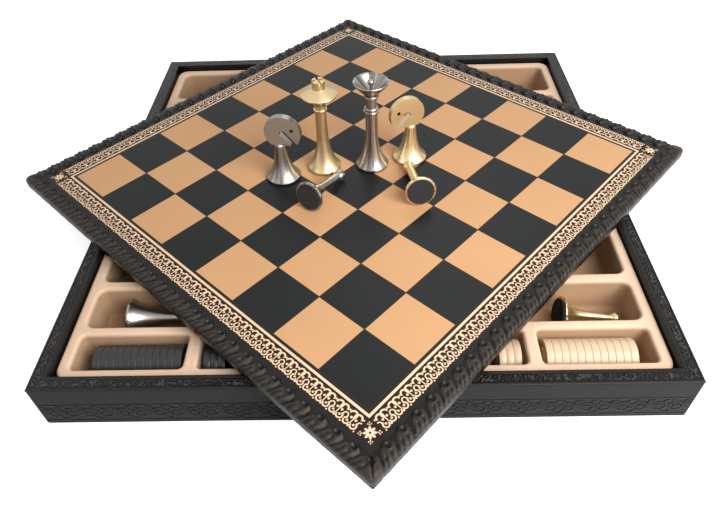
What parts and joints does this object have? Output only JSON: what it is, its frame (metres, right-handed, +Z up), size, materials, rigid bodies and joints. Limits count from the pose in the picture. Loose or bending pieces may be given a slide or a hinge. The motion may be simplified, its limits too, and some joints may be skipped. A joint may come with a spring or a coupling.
{
  "type": "chess box with lift-off board",
  "caption": "Square leather-covered game box with a flocked compartment tray, closed by a lift-off chess board, with metal chess men and stacked draughts.",
  "frame": {"origin": "middle of the box's underside, on the surface that it stands on", "axes": "+Z up, -Y out of the box's front side, +X to the right along the front"},
  "size_m": [0.5348, 0.5348, 0.1255],
  "materials": {
    "felt": "black felt",
    "board_wood": "raw fibreboard",
    "side_leatherette": "black leatherette, smooth above an embossed band",
    "rim_leatherette": "black leatherette embossed with fine scrolls",
    "flock": "beige flocking on formed sheet",
    "printed_leatherette": "black leatherette with bronze printed squares and a gold border",
    "lining": "plain black leatherette",
    "edge_leather": "dark grey-brown pleated leather",
    "cream_draught": "satin cream",
    "dark_draught": "satin black",
    "satin_brass": "satin turned brass",
    "gunmetal": "satin antiqued metal"
  },
  "bodies": {
    "box": {"front_wall": "board_wood", "front_cover": "side_leatherette", "front_rim": "rim_leatherette", "right_wall": "board_wood", "right_cover": "side_leatherette", "right_rim": "rim_leatherette", "back_wall": "board_wood", "back_cover": "side_leatherette", "back_rim": "rim_leatherette", "left_wall": "board_wood", "left_cover": "side_leatherette", "left_rim": "rim_leatherette", "bottom_panel": "board_wood", "base_felt": "felt", "tray": "flock", "spare_dark_draughts": "dark_draught", "spare_cream_draughts": "cream_draught", "stored_gunmetal_king": "gunmetal", "stored_brass_queen": "satin_brass", "stored_gunmetal_pawns": "gunmetal", "stored_brass_pawns": "satin_brass", "stored_gunmetal_rooks": "gunmetal", "stored_brass_rooks": "satin_brass", "stored_gunmetal_bishops": "gunmetal", "stored_brass_bishops": "satin_brass", "stored_gunmetal_knight": "gunmetal", "stored_brass_knight": "satin_brass", "stored_pads": "felt"},
    "board": {"board_core": "board_wood", "playing_sheet": "printed_leatherette", "board_lining": "lining", "near_left_binding": "edge_leather", "near_left_lacing": "edge_leather", "near_right_binding": "edge_leather", "near_right_lacing": "edge_leather", "far_right_binding": "edge_leather", "far_right_lacing": "edge_leather", "far_left_binding": "edge_leather", "far_left_lacing": "edge_leather"},
    "brass_king": {"brass_king_pad": "felt", "brass_king_stem": "satin_brass", "brass_king_crown": "satin_brass"},
    "gunmetal_queen": {"gunmetal_queen_pad": "felt", "gunmetal_queen_stem": "gunmetal", "gunmetal_queen_cup": "gunmetal"},
    "gunmetal_knight": {"gunmetal_knight_pad": "felt", "gunmetal_knight_stem": "gunmetal", "gunmetal_knight_head": "gunmetal"},
    "brass_knight": {"brass_knight_pad": "felt", "brass_knight_stem": "satin_brass", "brass_knight_head": "satin_brass"},
    "gunmetal_pawn": {"gunmetal_pawn_pad": "felt", "gunmetal_pawn": "gunmetal"},
    "brass_pawn": {"brass_pawn_pad": "felt", "brass_pawn": "satin_brass"},
    "dark_row": {"dark_draughts": "dark_draught"},
    "cream_row": {"cream_draughts": "cream_draught"}
  },
  "joints": [
    {"name": "board_lift", "type": "slide", "parent": "box", "child": "board", "axis": [0, 0, 1], "range_m": [0, 0.12]},
    {"name": "brass_king_lift", "type": "slide", "parent": "board", "child": "brass_king", "axis": [0, 0, 1], "range_m": [0, 0.06]},
    {"name": "gunmetal_queen_lift", "type": "slide", "parent": "board", "child": "gunmetal_queen", "axis": [0, 0, 1], "range_m": [0, 0.06]},
    {"name": "gunmetal_knight_lift", "type": "slide", "parent": "board", "child": "gunmetal_knight", "axis": [0, 0, 1], "range_m": [0, 0.06]},
    {"name": "brass_knight_lift", "type": "slide", "parent": "board", "child": "brass_knight", "axis": [0, 0, 1], "range_m": [0, 0.06]},
    {"name": "gunmetal_pawn_lift", "type": "slide", "parent": "board", "child": "gunmetal_pawn", "axis": [0, 0, 1], "range_m": [0, 0.06]},
    {"name": "brass_pawn_lift", "type": "slide", "parent": "board", "child": "brass_pawn", "axis": [0, 0, 1], "range_m": [0, 0.06]},
    {"name": "dark_row_lift", "type": "slide", "parent": "box", "child": "dark_row", "axis": [0, 0, 1], "range_m": [0, 0.045]},
    {"name": "cream_row_lift", "type": "slide", "parent": "box", "child": "cream_row", "axis": [0, 0, 1], "range_m": [0, 0.045]}
  ]
}
